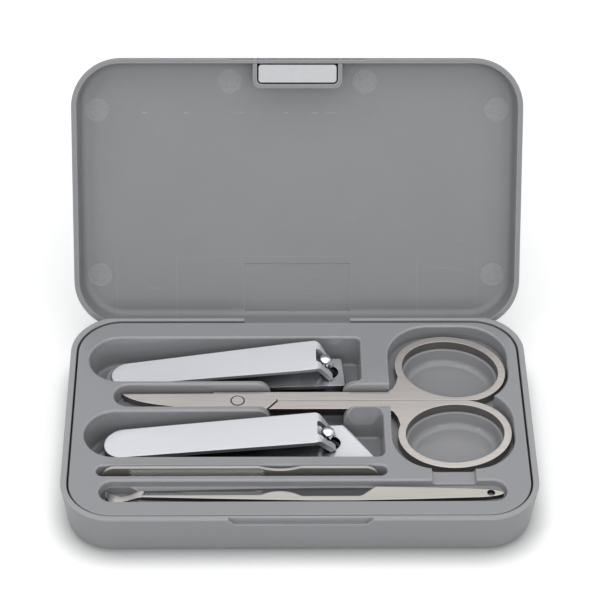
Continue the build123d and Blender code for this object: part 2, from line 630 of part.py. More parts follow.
# neck and scoop: one thin strip that dips below the handle and turns up at its tip
path = [(neck_x + 0.4, -0.62), (x_pick0 + 8.3, -0.75), (x_pick0 + 6.4, -1.55), (x_pick0 + 4.3, -2.2), (x_pick0 + 2.6, -2.3), (x_pick0 + 1.3, -1.65), (x_pick0 + 0.35, -0.35)]
over, under_ = [], []
for i, (x, z) in enumerate(path):
    xa, za = path[max(i - 1, 0)]
    xb, zb = path[min(i + 1, len(path) - 1)]
    d = math.hypot(xb - xa, zb - za)
    half_t = (0.5 if i == 0 else 0.36 if i == 1 else 0.5 * spoon_stock)
    ox, oz = -(zb - za) / d * half_t, (xb - xa) / d * half_t
    over.append((x - ox, z_pick + z - oz))
    under_.append((x + ox, z_pick + z + oz))
strip = make_face(Spline(*over) + Line(over[-1], under_[-1]) + Spline(*reversed(under_)) + Line(under_[0], over[0]))
strip = extrude(Pos(0, 3, 0) * (Plane.XZ * strip), amount=6, dir=(0, -1, 0))
spoon_plan = Pos(x_pick0 + spoon_length / 2, 0) * Ellipse(spoon_length / 2, spoon_width / 2)
neck_plan = make_face(Polyline((x_pick0 + spoon_length * 0.6, 0.95), (x_pick0 + spoon_length + 1.6, 0.85), (neck_x + 1, neck2 - 0.03), (neck_x + 1, 0.03 - neck2),
                               (x_pick0 + spoon_length + 1.6, -0.85), (x_pick0 + spoon_length * 0.6, -0.95), close=True))
pick += strip & up(spoon_plan + neck_plan, z_pick - 5, 8)
pick -= rod(x_pick1 - 3.1, 0.05, z_pick - 5, z_pick + 5, pick_hole_radius)
pick = save(Pos(0, y_pick, 0) * pick, "ear_pick")

# ---------------------------------------------------------------------------
# Insert tray: a plate with a flanged edge and a thin-walled recess for each
# tool hanging under it
# ---------------------------------------------------------------------------
tray_edge = RectangleRounded(tray_length, tray_depth, corner_radius - case_wall - tray_gap)
w = tray_wall

cavities, jackets, lips = [], [], []


def recess(face, floor, draft=recess_draft, round_=0.8, jacket=True, to_floor=False):
    """Adds the hollow of a recess and the thin wall round it."""
    depth = z_face - floor
    hollow_ = down(face, z_face, depth, draft)
    if round_:
        try:
            hollow_ = fillet(low_edges(hollow_, floor), round_)
        except Exception:
            pass
    cavities.append(hollow_ + up(face, z_face, 2.0))
    lips.append(face)
    if jacket:
        low = base_floor if to_floor else floor - w
        jackets.append(down(offset(face, w), z_face - 0.1, z_face - 0.1 - low, draft))


def d_shape(x0, x1, y, width, r):
    """Long recess outline: round at the tail, square with small corners at the jaws."""
    a = plate_xy(x0, x1, y - width / 2, y + width / 2, r)
    b = plate_xy(x0, x0 + width * 1.2, y - width / 2, y + width / 2, width * 0.499)
    return (a & plate_xy(x0 + width / 2, x1, y - width / 2, y + width / 2)) + b


x_large_end = x_recess + large_recess_l
small_face = d_shape(x_recess, x_recess + small_recess_l, y_small, small_recess_w, 1.6)
large_face = d_shape(x_recess, x_large_end, y_large, large_recess_w, 1.8)
recess(small_face, clipper_floor, to_floor=True)
recess(large_face, clipper_floor, to_floor=True)

x_tip = x_screw - blade_reach
x_blade_end = x_tip - blade_room
scissors_face = plate_xy(x_blade_end, x_ring_mid, y_scissors - scissors_recess_w / 2, y_scissors + scissors_recess_w / 2, scissors_recess_w * 0.499)
ring_up_y, ring_low_y = y_scissors + ring_offset_up, y_scissors - ring_offset_low
ring_h = ring_short + ring_room + 0.65
ring_up_face = plate_xy(x_ring_left, x_ring_left + ring_recess_w, ring_up_y - ring_h, ring_up_y + ring_h, 11.0)
ring_low_face = plate_xy(x_ring_left, x_ring_left + ring_recess_w, ring_low_y - ring_h, ring_low_y + ring_h, 11.0)
# the three outlines and the straight wall beside the rings make one recess
ring_side_face = plate_xy(x_ring_left, x_ring_left + 12, ring_low_y + 1.5, ring_up_y, 0.6)
ring_faces = scissors_face + ring_up_face + ring_low_face + ring_side_face
cavities.append(down(ring_faces, z_face + 2, scissors_depth + 2 * blade_stock + blade_gap + 2))
lips += [scissors_face, ring_up_face, ring_low_face]
for face in (plate_xy(x_blade_end - w, x_ring_mid, y_scissors - scissors_recess_w / 2 - w, y_scissors + scissors_recess_w / 2 + w, scissors_recess_w / 2),
             plate_xy(x_ring_left - w, x_ring_left + ring_recess_w + w, ring_up_y - ring_h - w, ring_up_y + ring_h + w, 11.0 + w),
             plate_xy(x_ring_left - w, x_ring_left + ring_recess_w + w, ring_low_y - ring_h - w, ring_low_y + ring_h + w, 11.0 + w),
             plate_xy(x_ring_left - w, x_ring_left + 12, ring_low_y + 1.5, ring_up_y, 0.6)):
    jackets.append(down(face, z_face - 0.1, z_face - 0.1 - z_ledge + w))


def bowl(sign):
    """Round hollow under a finger hole: the ring rests on the ledge about it."""
    tilt = ring_tilt_up if sign > 0 else ring_tilt_low
    off = ring_offset_up if sign > 0 else -ring_offset_low
    place = Pos(x_screw + ring_reach, y_scissors + off) * Rot(0, 0, tilt)
    a, b = ring_bore_long - bowl_ledge, ring_bore_short - bowl_ledge
    cup = down(place * Ellipse(a, b), z_ledge + 0.01, bowl_depth, 8.0)
    cup = fillet(low_edges(cup, z_bowl + 0.01), 1.8)
    cavities.append(cup)
    jackets.append(down(place * Ellipse(a + w * 0.7, b + w * 0.7), z_ledge - 0.1, bowl_depth - 0.1 + w))


bowl(1)
bowl(-1)

# slots of the file and the pick
file_face_xy = plate_xy(x_file - file_room_end, x_file + file_length + file_room_end + 0.7, y_file - file_recess_w / 2, y_file + file_recess_w / 2, file_recess_w * 0.499)
recess(file_face_xy, z_file_floor, draft=1.0, round_=0)
pick_face_xy = plate_xy(x_pick0 - pick_end_room, x_pick1 + pick_end_room - 0.5, y_pick - pick_recess_w / 2, y_pick + pick_recess_w / 2, pick_recess_w * 0.499)
recess(pick_face_xy, z_pick - pick_stock, draft=4.0, round_=0.5)
spoon_well = plate_xy(x_pick0 - pick_end_room + 0.2, x_pick0 + spoon_length + 4.4, y_pick - pick_recess_w / 2 + 0.2, y_pick + pick_recess_w / 2 - 0.2, pick_recess_w * 0.45)
well = down(spoon_well, z_pick - pick_stock + 0.1, spoon_sink + 0.9, 4.0)
cavities.append(well)
jackets.append(down(offset(spoon_well, 0.6 * w), z_pick - pick_stock - 0.2, spoon_sink + 0.6 + w))

# gate between the near ring and the pick
x_gate = x_ring_mid - 0.65
gate = box(x_gate - channel_width / 2, x_gate + channel_width / 2, y_pick, ring_low_y, z_face - channel_depth, z_face + 2)
gate = fillet(gate.edges().filter_by(Axis.Y).group_by(Axis.Z)[0], 0.9)
cavities.append(gate)
jackets.append(box(x_gate - channel_width / 2 - w, x_gate + channel_width / 2 + w, y_pick, ring_low_y, z_face - channel_depth - w, z_face - 0.1))

# finger scoop across the ribs, with rounded rib ends
x_scoop0 = x_small + small_length / 2 + scoop_from_middle
x_scoop1 = x_scoop0 + scoop_length
y_scoop0, y_scoop1 = y_large + large_recess_w / 2 - 1.5, y_small - small_recess_w / 2 + 1.5
mouth = side([(x_scoop0 - scoop_round, z_face - scoop_round), (x_scoop1 + scoop_round, z_face - scoop_round),
              (x_scoop1 + scoop_round, z_face + 2), (x_scoop0 - scoop_round, z_face + 2)], y_scoop0, y_scoop1)
mouth -= rod_y(x_scoop0 - scoop_round, y_scoop0 - 1, y_scoop1 + 1, z_face - scoop_round, scoop_round)
mouth -= rod_y(x_scoop1 + scoop_round, y_scoop0 - 1, y_scoop1 + 1, z_face - scoop_round, scoop_round)
cavities.append(mouth)
cavities.append(box(x_scoop0, x_scoop1, y_scoop0, y_scoop1, scoop_floor, z_face))
jackets.append(box(x_scoop0 - w, x_scoop1 + w, y_scoop0, y_scoop1, scoop_floor - w, z_face - 0.1))
# sloped relief beside the large clipper's jaws
relief_face = plate_xy(x_scoop1 + 0.1, x_large_end, y_large - 1.0, y_scissors - scissors_recess_w / 2 - 0.12, 3.0)
slope_cut = down(relief_face, z_face, 5.5, 20.0)
cavities.append(slope_cut + up(relief_face, z_face, 2.0))
jackets.append(down(offset(relief_face, w), z_face - 0.1, 5.5 + w, 20.0))

tray = down(tray_edge, z_face, tray_skirt + tray_skin, base_draft)
tray = chamfer(low_edges(tray, z_face), mouth_edge)
tray -= down(offset(tray_edge, -w - 0.1), z_face - tray_skin, tray_skirt + 1, base_draft)
hinge_room = box(-knuckle_out - 1, knuckle_out + 1, y_hinge - knuckle_radius - 0.5, case_depth, -1, z_face - tray_skin)
well_limit = down(offset(inside, -tray_gap), z_rim, z_rim - base_floor, base_draft)
well_limit = fillet(low_edges(well_limit, base_floor), max(base_round - case_wall, 0.4))
for j in jackets:
    tray += j
tray = tray & well_limit
for c in cavities:
    tray -= c
for face in lips:
    tray -= down(offset(face, mouth_edge), z_face, mouth_edge + 0.08, 45.0) + up(offset(face, mouth_edge), z_face, 1.0)
tray -= hinge_room

# magnet under the front margin, between two end ribs
y_magnet = -tray_depth / 2 + w + 0.35 + magnet_width / 2 + 0.15
for s in (-1, 1):
    xr = s * (magnet_length / 2 + 0.1 + 0.5)
    tray += box(xr - 0.5, xr + 0.5, y_magnet - magnet_width / 2 - 0.6, y_magnet + magnet_width / 2 + 0.6, z_face - tray_skin - magnet_height, z_face - tray_skin + 0.1)
tray_s = save(tray, "insert_tray")
magnet = box(-magnet_length / 2, magnet_length / 2, y_magnet - magnet_width / 2, y_magnet + magnet_width / 2,
             z_face - tray_skin - magnet_height, z_face - tray_skin)
magnet = save(magnet, "tray_magnet")

print(f"case {case_width:.2f} x {case_depth:.2f}, y rows {y_small:.2f} {y_scissors:.2f} {y_large:.2f} {y_file:.2f} {y_pick:.2f}")
print(f"x recess {x_recess:.2f} small {x_small:.2f} large {x_large:.2f} screw {x_screw:.2f} rings {x_ring_left:.2f}..{x_ring_left + ring_recess_w:.2f} scoop {x_scoop0:.2f}..{x_scoop1:.2f}")
print(f"large end {x_large_end:.2f} scallop {x_scallop:.2f} file {x_file:.2f} pick {x_pick0:.2f}..{x_pick1:.2f} hinge {y_hinge:.2f} {z_hinge:.2f}")
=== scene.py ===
import math

import bpy
from mathutils import Matrix, Vector


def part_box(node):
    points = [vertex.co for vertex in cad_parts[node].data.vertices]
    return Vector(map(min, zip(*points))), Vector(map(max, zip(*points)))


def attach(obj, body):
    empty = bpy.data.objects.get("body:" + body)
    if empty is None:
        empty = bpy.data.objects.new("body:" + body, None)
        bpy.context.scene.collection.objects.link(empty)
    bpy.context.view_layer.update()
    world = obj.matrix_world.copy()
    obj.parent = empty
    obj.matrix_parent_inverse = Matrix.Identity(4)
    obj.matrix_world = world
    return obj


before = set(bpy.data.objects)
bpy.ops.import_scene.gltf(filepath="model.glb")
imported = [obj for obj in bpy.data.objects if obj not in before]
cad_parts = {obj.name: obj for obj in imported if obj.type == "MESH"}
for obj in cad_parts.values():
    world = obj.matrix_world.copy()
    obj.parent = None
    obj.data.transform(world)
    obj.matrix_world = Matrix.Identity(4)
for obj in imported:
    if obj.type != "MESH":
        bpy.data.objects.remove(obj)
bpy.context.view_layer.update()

# ---------------------------------------------------------------------------
# Table and studio. The case stands on a white sweep under a broad soft light
# from above and in front; the camera looks down on it from the front.
# ---------------------------------------------------------------------------
camera_pitch, camera_yaw, camera_roll = (math.radians(a) for a in (42.590, -1.217, 0.746))
camera_place = (-0.009064, -0.422193, 0.439580)
camera_lens, camera_sensor = 144.93, 36.0
nearest_seen, farthest_seen = 0.01, 10.0

back = Vector((math.sin(camera_yaw) * math.cos(camera_pitch),
               -math.cos(camera_yaw) * math.cos(camera_pitch), math.sin(camera_pitch)))
right = Vector((math.cos(camera_yaw), math.sin(camera_yaw), 0.0))
upward = back.cross(right)
right, upward = (right * math.cos(camera_roll) + upward * math.sin(camera_roll),
                 upward * math.cos(camera_roll) - right * math.sin(camera_roll))
camera_data = bpy.data.cameras.new("studio_camera")
camera_data.sensor_width, camera_data.lens = camera_sensor, camera_lens
camera_data.clip_start, camera_data.clip_end = nearest_seen, farthest_seen
camera = bpy.data.objects.new("studio_camera", camera_data)
bpy.context.scene.collection.objects.link(camera)
camera_stance = Matrix((right, upward, back)).transposed().to_4x4()
camera_stance.translation = Vector(camera_place)
camera.matrix_world = camera_stance
bpy.context.scene.camera = camera
bpy.context.scene.view_settings.view_transform = "Standard"


def soft_box(name, place, aim_height, wide, deep, watts):
    """A rectangular studio lamp aimed at the middle of the case."""
    lamp = bpy.data.lights.new(name, "AREA")
    lamp.shape, lamp.size, lamp.size_y, lamp.energy = "RECTANGLE", wide, deep, watts
    holder = bpy.data.objects.new(name, lamp)
    holder.location = place
    aim = Vector((0.0, 0.0, aim_height)) - Vector(place)
    holder.rotation_euler = aim.to_track_quat("-Z", "Y").to_euler()
    bpy.context.scene.collection.objects.link(holder)


soft_box("overhead_soft_box", (0.0, 0.05, 0.95), aim_height=0.02, wide=1.4, deep=1.1, watts=4.2)
soft_box("front_soft_box", (0.0, -0.85, 0.85), aim_height=0.03, wide=0.9, deep=0.5, watts=1.5)
soft_box("low_fill_soft_box", (0.10, -1.05, 0.42), aim_height=0.01, wide=1.0, deep=0.35, watts=1.5)
soft_box("left_window", (-0.55, -0.50, 0.60), aim_height=0.01, wide=0.07, deep=0.40, watts=0.50)
soft_box("right_window", (0.45, -0.60, 0.60), aim_height=0.01, wide=0.06, deep=0.40, watts=0.45)


def add(tree, kind, inputs=None, **settings):
    """A node with its settings; an input takes a plain value or an output to link."""
    made = tree.nodes.new(kind)
    for name, value in settings.items():
        setattr(made, name, value)
    for name, value in (inputs or {}).items():
        if hasattr(value, "is_linked"):
            tree.links.new(value, made.inputs[name])
        else:
            made.inputs[name].default_value = value
    return made


def arith(tree, how, *values, clamp=False):
    """Result of one arithmetic step between values or outputs."""
    return add(tree, "ShaderNodeMath", dict(enumerate(values)), operation=how, use_clamp=clamp).outputs[0]


def ramp(tree, value, low, high, to_low=0.0, to_high=1.0):
    """A value taken from one span to another and held at its ends."""
    spans = {"Value": value, "From Min": low, "From Max": high, "To Min": to_low, "To Max": to_high}
    return add(tree, "ShaderNodeMapRange", spans).outputs["Result"]


def scaled(tree, vector, factor):
    """A colour or vector made stronger or weaker by a factor."""
    made = add(tree, "ShaderNodeVectorMath", {0: vector, "Scale": factor}, operation="SCALE")
    return made.outputs["Vector"]


def shaded(name):
    """A material with nodes, and its tree."""
    made = bpy.data.materials.new(name)
    made.use_nodes = True
    return made, made.node_tree


# the room: dimmer and a little cooler as a lamp than it looks
room_tint, room_light, room_look = (0.97, 0.985, 1.0, 1), 0.50, 1.0

world = bpy.data.worlds.new("white_studio")
bpy.context.scene.world = world
world.use_nodes = True
sky = world.node_tree
sky.nodes.clear()
rays = add(sky, "ShaderNodeLightPath")
looked_at = arith(sky, "MAXIMUM", rays.outputs["Is Camera Ray"], rays.outputs["Is Glossy Ray"])
looked_at = arith(sky, "MAXIMUM", looked_at, rays.outputs["Is Transmission Ray"])
sky_lit = add(sky, "ShaderNodeBackground", {"Color": room_tint, "Strength": room_light})
sky_seen = add(sky, "ShaderNodeBackground", {"Color": (1, 1, 1, 1), "Strength": room_look})
sky_mix = add(sky, "ShaderNodeMixShader", {"Fac": looked_at, 1: sky_lit.outputs[0], 2: sky_seen.outputs[0]})
add(sky, "ShaderNodeOutputWorld", {"Surface": sky_mix.outputs[0]})

# the paper: matt white with a faint glow, and a painted shadow: its colour and glow are darkened where the
# case stands near, in the narrow gap under it
sweep_half = 3
paper_white, paper_glow = 0.88, 0.30
paper_shadow_reach, paper_shadow_from, darkest_paper_shadow = 0.0062, 0.45, 0.44

sweep_mesh = bpy.data.meshes.new("white_sweep")
corners = [(x * sweep_half, y * sweep_half, 0) for x, y in ((-1, -1), (1, -1), (1, 1), (-1, 1))]
sweep_mesh.from_pydata(corners, [], [(0, 1, 2, 3)])
sweep = bpy.data.objects.new("white_sweep", sweep_mesh)
bpy.context.scene.collection.objects.link(sweep)
paper, tree = shaded("white_paper")
tree.nodes.clear()
# painted shadow: ambient occlusion darkens the paper next to the case
paper_shadow_ao = add(tree, "ShaderNodeAmbientOcclusion", {"Distance": paper_shadow_reach}, samples=8)
paper_shadow_factor = ramp(tree, paper_shadow_ao.outputs["AO"], paper_shadow_from, 1.0, darkest_paper_shadow, 1.0)
rays = add(tree, "ShaderNodeLightPath")
looked_at = arith(tree, "MAXIMUM", rays.outputs["Is Camera Ray"], rays.outputs["Is Glossy Ray"])
glow = arith(tree, "MULTIPLY", arith(tree, "MULTIPLY", looked_at, paper_glow), paper_shadow_factor)
paper_matt = add(tree, "ShaderNodeBsdfDiffuse", {"Color": scaled(tree, (paper_white,) * 3, paper_shadow_factor)})
paper_lit = add(tree, "ShaderNodeEmission", {"Strength": glow})
paper_sum = add(tree, "ShaderNodeAddShader", {0: paper_matt.outputs[0], 1: paper_lit.outputs[0]})
add(tree, "ShaderNodeOutputMaterial", {"Surface": paper_sum.outputs[0]})
sweep_mesh.materials.append(paper)

# ---------------------------------------------------------------------------
# Case: base and lid, moulded in one grey ABS with a fine satin texture.
# The marks of the mould's ejectors and the sunk panel stay in the lid.
# ---------------------------------------------------------------------------
base_grey, lid_grey = (0.246, 0.248, 0.258), (0.248, 0.250, 0.258)
plastic_ior, plastic_relief = 1.5, 0.0001
scuff_lift = 1.5
flow_scale, flow_from, flow_to = 38.0, 0.3, 0.7
pebble_sheen = 0.08
hair_stretch, hair_from, hair_to = (90.0, 1900.0, 1900.0), 0.70, 0.78
speck_scale, speck_rim, speck_core, speck_chance = 170.0, 0.045, 0.02, 0.86
gap_shut, gap_open = 0.32, 0.78                        # share of the sky that a face sees
case_skin = {"sheen": 0.42, "pebble": 2600.0, "bump": 0.35}
# the paler top of the base's rim is a painted highlight
rim_highlight_grey, rim_highlight_from, rim_highlight_to = (0.345, 0.345, 0.350), 0.01245, 0.01295
hinge_line, lid_turn = (0.0, 0.03433, 0.0102), math.radians(119.2)
inner_face_limit = 0.0203                              # height inside the shut lid
witness_grey, disc_radius, insert_line_half = (0.40, 0.402, 0.41), 0.0031, 0.00010
disc_at = ((-0.05128, -0.02123), (0.05128, -0.02123), (-0.0174, -0.02833),
           (0.0175, -0.02833), (-0.05128, 0.02213), (0.05128, 0.02213))
insert_lines = (                                       # across, where, along, middle, half length
    ("X", -0.0315, "Y", 0.0255, 0.008), ("X", 0.0315, "Y", 0.0255, 0.008),
    ("X", 0.0141, "Y", 0.0185, 0.002), ("Y", 0.0175, "X", -0.0087, 0.0228),
    ("X", -0.0470, "Y", 0.0250, 0.0075), ("X", 0.0470, "Y", 0.0250, 0.0075))
insert_line_strength = 0.16
grit_scale, grit_from, grit_to, grit_faint, grit_strong = 2400.0, 0.35, 0.65, 0.12, 0.42
tick_scale, tick_from, tick_to, tick_strong = 420.0, 0.58, 0.68, 0.5
rub_y, rub_half_width, rub_x, rub_half_length = -0.0204, 0.00022, -0.014, 0.030


def new_group(name, wants, gives):
    """An empty shader group with its named sockets: (name, kind, value)."""
    made = bpy.data.node_groups.new(name, "ShaderNodeTree")
    for label, kind, value in wants:
        socket = made.interface.new_socket(label, in_out="INPUT", socket_type=kind)
        socket.default_value = value
    for label, kind in gives:
        made.interface.new_socket(label, in_out="OUTPUT", socket_type=kind)
    return made, made.nodes.new("NodeGroupInput").outputs, made.nodes.new("NodeGroupOutput").inputs


def use(tree, group, name="", **inputs):
    """One use of a shader group in a tree, with its inputs."""
    made = add(tree, "ShaderNodeGroup", inputs, node_tree=group)
    made.name = name or made.name
    return made.outputs


def blend(tree, first, second, mask, name=""):
    """A colour taken towards a plain second one where the mask says so."""
    made = add(tree, "ShaderNodeMix", {"A": first, "B": (*second, 1), "Factor": mask}, data_type="RGBA")
    made.name = name or made.name
    return made.outputs["Result"]


def noise(tree, place, scale, detail):
    """Cloudy noise between 0 and 1 at a place."""
    made = add(tree, "ShaderNodeTexNoise", {"Vector": place, "Scale": scale, "Detail": detail})
    return made.outputs["Fac"]


# the rounded normal of a moulded or tumbled edge, and an edge mask that the plastics use to paint a highlight
# along their edges
edge_round_and_highlight, given, gives = new_group(
    "edge_round_and_highlight", [("Radius", "NodeSocketFloat", 0.0003), ("Gain", "NodeSocketFloat", 4.0)],
    [("Normal", "NodeSocketVector"), ("Edge", "NodeSocketFloat")])
tree, links = edge_round_and_highlight, edge_round_and_highlight.links
rounded = add(tree, "ShaderNodeBevel", {"Radius": given["Radius"]}, samples=6)
flat = add(tree, "ShaderNodeNewGeometry")
agree = add(tree, "ShaderNodeVectorMath", {0: rounded.outputs["Normal"], 1: flat.outputs["Normal"]},
            operation="DOT_PRODUCT")
turned_away = arith(tree, "SUBTRACT", 1.0, agree.outputs["Value"])
links.new(rounded.outputs["Normal"], gives["Normal"])
links.new(arith(tree, "MULTIPLY", turned_away, given["Gain"], clamp=True), gives["Edge"])

# moulded skin: the fine pebble of a textured mould and a faint flow mottle
moulded_skin, given, gives = new_group(
    "moulded_skin",
    [("Pebble", "NodeSocketFloat", 2600.0), ("Mottle", "NodeSocketFloat", 0.05),
     ("Plastic", "NodeSocketColor", (0.28, 0.28, 0.29, 1)), ("Sheen", "NodeSocketFloat", 0.45)],
    [("Color", "NodeSocketColor"), ("Roughness", "NodeSocketFloat"), ("Height", "NodeSocketFloat")])
tree, links = moulded_skin, moulded_skin.links
place = add(tree, "ShaderNodeTexCoord").outputs["Object"]
grains = noise(tree, place, given["Pebble"], 3.0)
flow = noise(tree, place, flow_scale, 4.0)
swing = ramp(tree, flow, flow_from, flow_to, -1.0, 1.0)
mottled = arith(tree, "MULTIPLY_ADD", swing, given["Mottle"], 1.0)
links.new(scaled(tree, given["Plastic"], mottled), gives["Color"])
links.new(arith(tree, "MULTIPLY_ADD", grains, pebble_sheen, given["Sheen"]), gives["Roughness"])
links.new(grains, gives["Height"])

# handling marks: sparse hairline scuffs and dust specks left on a satin face
handling_marks, given, gives = new_group(
    "handling_marks", [("Hairlines", "NodeSocketFloat", 0.5), ("Specks", "NodeSocketFloat", 0.5)],
    [("Mark", "NodeSocketFloat")])
tree, links = handling_marks, handling_marks.links
place = add(tree, "ShaderNodeTexCoord").outputs["Object"]
slim = add(tree, "ShaderNodeMapping", {"Vector": place, "Scale": hair_stretch}).outputs["Vector"]
hair = noise(tree, slim, 1.0, 2.0)
speck = add(tree, "ShaderNodeTexVoronoi", {"Vector": place, "Scale": speck_scale})
chance = add(tree, "ShaderNodeSeparateColor", {"Color": speck.outputs["Color"]}).outputs["Red"]
dots = arith(tree, "MULTIPLY", ramp(tree, speck.outputs["Distance"], speck_rim, speck_core),
             arith(tree, "GREATER_THAN", chance, speck_chance))
links.new(arith(tree, "MULTIPLY_ADD", ramp(tree, hair, hair_from, hair_to), given["Hairlines"],
                arith(tree, "MULTIPLY", dots, given["Specks"]), clamp=True), gives["Mark"])

# painted gap shade: faces that look into each other, and narrow seams, get a painted shade, their colour
# darkened by how little of the sky they see
painted_gap_shade, given, gives = new_group(
    "painted_gap_shade", [("Finish", "NodeSocketColor", (0.6, 0.6, 0.6, 1)), ("Reach", "NodeSocketFloat", 0.004),
                   ("Deepest", "NodeSocketFloat", 0.1)],
    [("Color", "NodeSocketColor")])
tree, links = painted_gap_shade, painted_gap_shade.links
openness = add(tree, "ShaderNodeAmbientOcclusion", {"Distance": given["Reach"]}, samples=6).outputs["AO"]
depth = ramp(tree, openness, gap_shut, gap_open, given["Deepest"])
links.new(scaled(tree, given["Finish"], depth), gives["Color"])


def plastic(name, colour, sheen, pebble, bump, mottle, edge_radius, edge_highlight_lift, edge_highlight_gain, hairlines, specks,
            shade_reach=0.0009, shade_dark=0.45):
    """Moulded plastic: skin, handling marks, painted shade in seams and close gaps, and a painted highlight
    along its edges.
    """
    made, tree = shaded(name)
    skin = use(tree, moulded_skin, Pebble=pebble, Mottle=mottle, Plastic=(*colour, 1), Sheen=sheen)
    edge = use(tree, edge_round_and_highlight, Radius=edge_radius, Gain=edge_highlight_gain)
    marks = use(tree, handling_marks, Hairlines=hairlines, Specks=specks)
    marked = blend(tree, skin["Color"], [min(1.0, c * scuff_lift) for c in colour], marks["Mark"], "marked")
    # painted highlight: the colour is made lighter along the edges
    highlighted_edges = blend(tree, marked, [min(1.0, c * edge_highlight_lift) for c in colour], edge["Edge"])
    # painted shade: darker where faces look into close gaps
    seam_shade = use(tree, painted_gap_shade, Finish=highlighted_edges, Reach=shade_reach, Deepest=shade_dark)
    relief = add(tree, "ShaderNodeBump", {"Strength": bump, "Distance": plastic_relief,
                                          "Height": skin["Height"], "Normal": edge["Normal"]})
    bsdf = tree.nodes["Principled BSDF"].inputs
    bsdf["IOR"].default_value = plastic_ior
    tree.links.new(seam_shade["Color"], bsdf["Base Color"])
    tree.links.new(skin["Roughness"], bsdf["Roughness"])
    tree.links.new(relief.outputs["Normal"], bsdf["Normal"])
    return made


def tinted(made, colour, mask):
    """Takes the marked colour of a plastic towards another where the mask says so."""
    tree = made.node_tree
    marked = tree.nodes["marked"].outputs["Result"]
    after = marked.links[0].to_socket
    tree.links.new(blend(tree, marked, colour, mask), after)


def dress(node, made):
    """Puts a finish on a CAD node's own slots."""
    node_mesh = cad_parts[node].data
    node_mesh.materials.clear()
    node_mesh.materials.append(made)


# the top of the base's rim is painted a little paler, a painted highlight along the rim
base_abs = plastic("base_abs", base_grey, **case_skin, mottle=0.02, edge_radius=0.0005, edge_highlight_lift=1.6,
                   edge_highlight_gain=25.0, hairlines=0.0, specks=0.2)
tree = base_abs.node_tree
place = add(tree, "ShaderNodeTexCoord").outputs["Object"]
level = add(tree, "ShaderNodeSeparateXYZ", {0: place}).outputs["Z"]
tinted(base_abs, rim_highlight_grey, ramp(tree, level, rim_highlight_from, rim_highlight_to))
dress("base_shell", base_abs)

# witness marks inside the lid: the six ejector discs, matt and speckled, and
# the thin lines of the mould's inserts, placed with the lid turned shut
witness, given, gives = new_group(
    "witness_marks",
    [("Disc", "NodeSocketFloat", disc_radius), ("Line", "NodeSocketFloat", insert_line_half)],
    [("Mark", "NodeSocketFloat")])
tree, links = witness, witness.links
place = add(tree, "ShaderNodeTexCoord").outputs["Object"]
shut = add(tree, "ShaderNodeVectorRotate", {"Vector": place, "Center": hinge_line, "Angle": lid_turn},
           rotation_type="X_AXIS")
apart = add(tree, "ShaderNodeSeparateXYZ", {0: shut.outputs["Vector"]}).outputs
flat_xy = add(tree, "ShaderNodeCombineXYZ", {"X": apart["X"], "Y": apart["Y"]}).outputs[0]


def band(axis, centre, half):
    """Mask of where a coordinate of the shut lid is near a value."""
    off = arith(tree, "ABSOLUTE", arith(tree, "SUBTRACT", apart[axis], centre))
    return arith(tree, "LESS_THAN", off, half)


discs = []
for disc_x, disc_y in disc_at:
    reach = add(tree, "ShaderNodeVectorMath", {0: flat_xy, 1: (disc_x, disc_y, 0.0)}, operation="DISTANCE")
    discs.append(arith(tree, "LESS_THAN", reach.outputs["Value"], given["Disc"]))
lines = [arith(tree, "MULTIPLY", band(across, where, given["Line"]), band(along, middle, half))
         for across, where, along, middle, half in insert_lines]
any_disc, any_line = discs[0], lines[0]
for disc, line in zip(discs[1:], lines[1:]):
    any_disc, any_line = arith(tree, "MAXIMUM", any_disc, disc), arith(tree, "MAXIMUM", any_line, line)
grit = noise(tree, place, grit_scale, 2.0)
speckled = arith(tree, "MULTIPLY", any_disc, ramp(tree, grit, grit_from, grit_to, grit_faint, grit_strong))
faint = arith(tree, "MULTIPLY", any_line, insert_line_strength)
ticks = noise(tree, flat_xy, tick_scale, 2.0)
rub = arith(tree, "MULTIPLY", band("Y", rub_y, rub_half_width), band("X", rub_x, rub_half_length))
rub = arith(tree, "MULTIPLY", rub, ramp(tree, ticks, tick_from, tick_to, 0.0, tick_strong))
all_marks = arith(tree, "MAXIMUM", arith(tree, "MAXIMUM", speckled, faint), rub)
inside = arith(tree, "LESS_THAN", apart["Z"], inner_face_limit)
links.new(arith(tree, "MULTIPLY", all_marks, inside), gives["Mark"])

lid_abs = plastic("lid_abs", lid_grey, **case_skin, mottle=0.03, edge_radius=0.00045, edge_highlight_lift=1.55,
                  edge_highlight_gain=20.0, hairlines=0.3, specks=0.5)
tinted(lid_abs, witness_grey, use(lid_abs.node_tree, witness)["Mark"])
dress("lid_shell", lid_abs)

# ---------------------------------------------------------------------------
# Insert tray: thin vacuum-smooth grey moulding dropped into the base. Its
# recess mouths are rounded and its face is a little glossier than the case.
# ---------------------------------------------------------------------------
tray_grey = (0.300, 0.302, 0.314)
dress("insert_tray", plastic("tray_abs", tray_grey, sheen=0.12, pebble=1500.0, bump=0.05, mottle=0.015,
                             edge_radius=0.00045, edge_highlight_lift=1.35, edge_highlight_gain=16.0, hairlines=0.12, specks=0.3))

# ---------------------------------------------------------------------------
# Catch: a nickel-plated steel plate in the lid and the ferrite magnet under
# the tray that draws it; the hinge pin is a length of drawn steel wire.
# ---------------------------------------------------------------------------
nickel, ferrite, wire = (0.33, 0.335, 0.345), (0.06, 0.06, 0.06), (0.5, 0.5, 0.5)
metal_relief = 0.00005
fibre_from, fibre_to, fibre_satin = 0.25, 0.75, 0.06
wall_upright, face_upright = 0.15, 0.55                # of the normal's height

